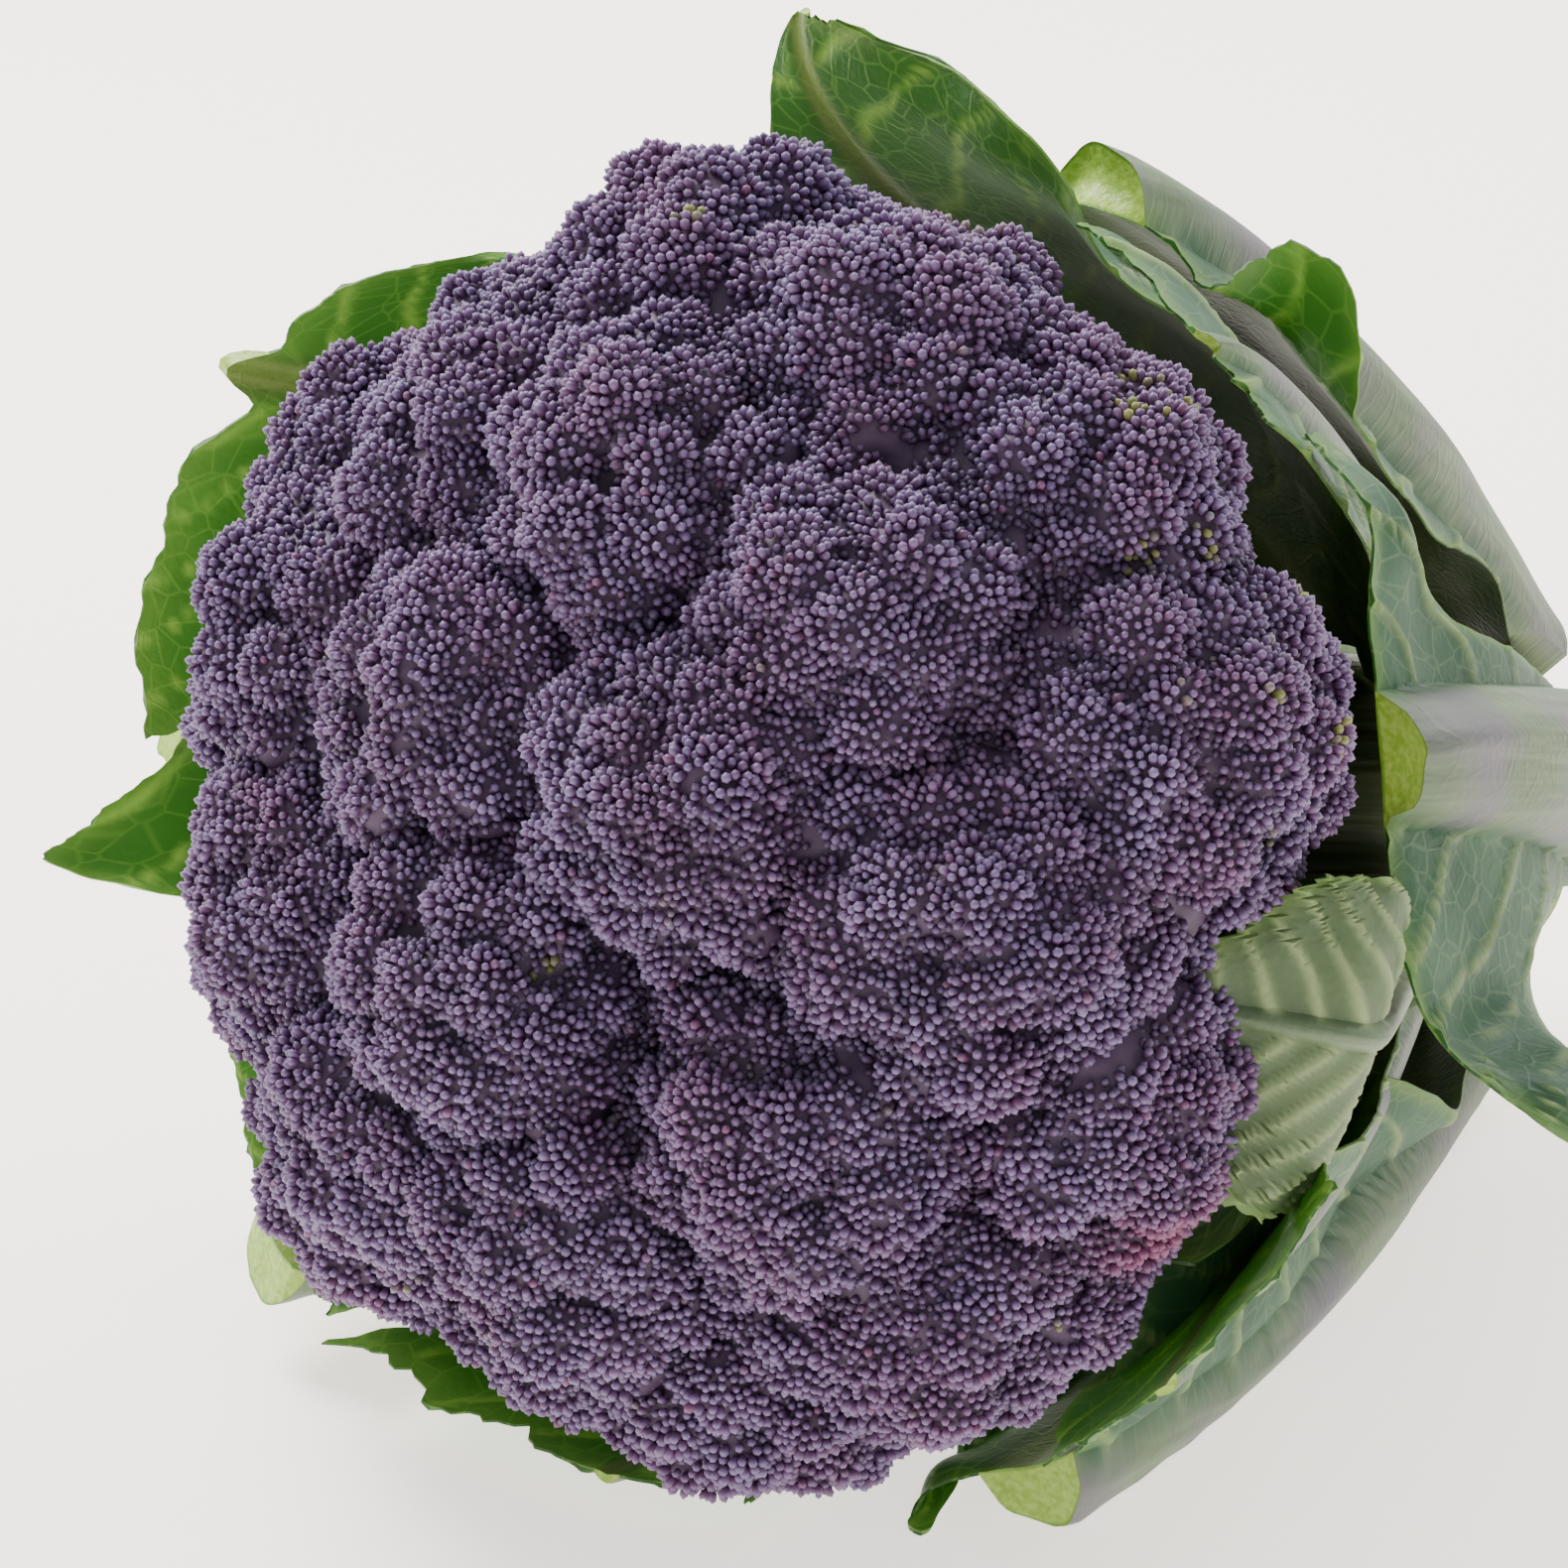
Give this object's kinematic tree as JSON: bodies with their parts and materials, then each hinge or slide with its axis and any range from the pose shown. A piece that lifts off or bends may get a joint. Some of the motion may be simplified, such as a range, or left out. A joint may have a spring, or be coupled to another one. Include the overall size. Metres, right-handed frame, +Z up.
{
  "type": "broccoli head",
  "caption": "Purple broccoli head cut at the stem, lying on its side, with a lumpy crown of bud florets cupped by trimmed green leaves.",
  "frame": {"origin": "on the surface the head lies on, below the middle of the head's own box", "axes": "+Z up; the crown of buds faces -Y and is tilted up by 20 degrees; the cut end of the stem points to +Y"},
  "size_m": [0.253, 0.2696, 0.202],
  "materials": {
    "florets": "dusty violet flower buds, matte with a waxy bloom",
    "stem": "pale green stem, moist and smooth where cut",
    "outer_leaves": "blue-green leaf with silvery waxy bloom, pale veins and thick pale stalk",
    "inner_leaves": "fresh green leaf, satin, yellow-green veins"
  },
  "bodies": {
    "root": {"main_stem": "stem", "floret_rim_01": "florets", "floret_rim_02": "florets", "floret_rim_03": "florets", "floret_rim_04": "florets", "floret_rim_05": "florets", "floret_rim_06": "florets", "floret_rim_07": "florets", "floret_rim_08": "florets", "floret_rim_09": "florets", "floret_rim_10": "florets", "floret_rim_11": "florets", "floret_rim_12": "florets", "floret_rim_13": "florets", "floret_side_01": "florets", "floret_side_02": "florets", "floret_side_03": "florets", "floret_side_04": "florets", "floret_side_05": "florets", "floret_side_06": "florets", "floret_side_07": "florets", "floret_side_08": "florets", "floret_side_09": "florets", "floret_top_01": "florets", "floret_top_02": "florets", "floret_top_03": "florets", "outer_leaf_upper": "outer_leaves", "outer_leaf_right": "outer_leaves", "outer_leaf_lower_right": "outer_leaves", "outer_leaf_lower_left": "outer_leaves", "outer_leaf_left": "outer_leaves", "inner_leaf_left": "inner_leaves", "inner_leaf_top": "inner_leaves", "inner_leaf_under": "inner_leaves", "inner_leaf_lower_right": "inner_leaves", "inner_leaf_frilled": "inner_leaves", "inner_leaf_upper_right": "inner_leaves"}
  },
  "joints": []
}
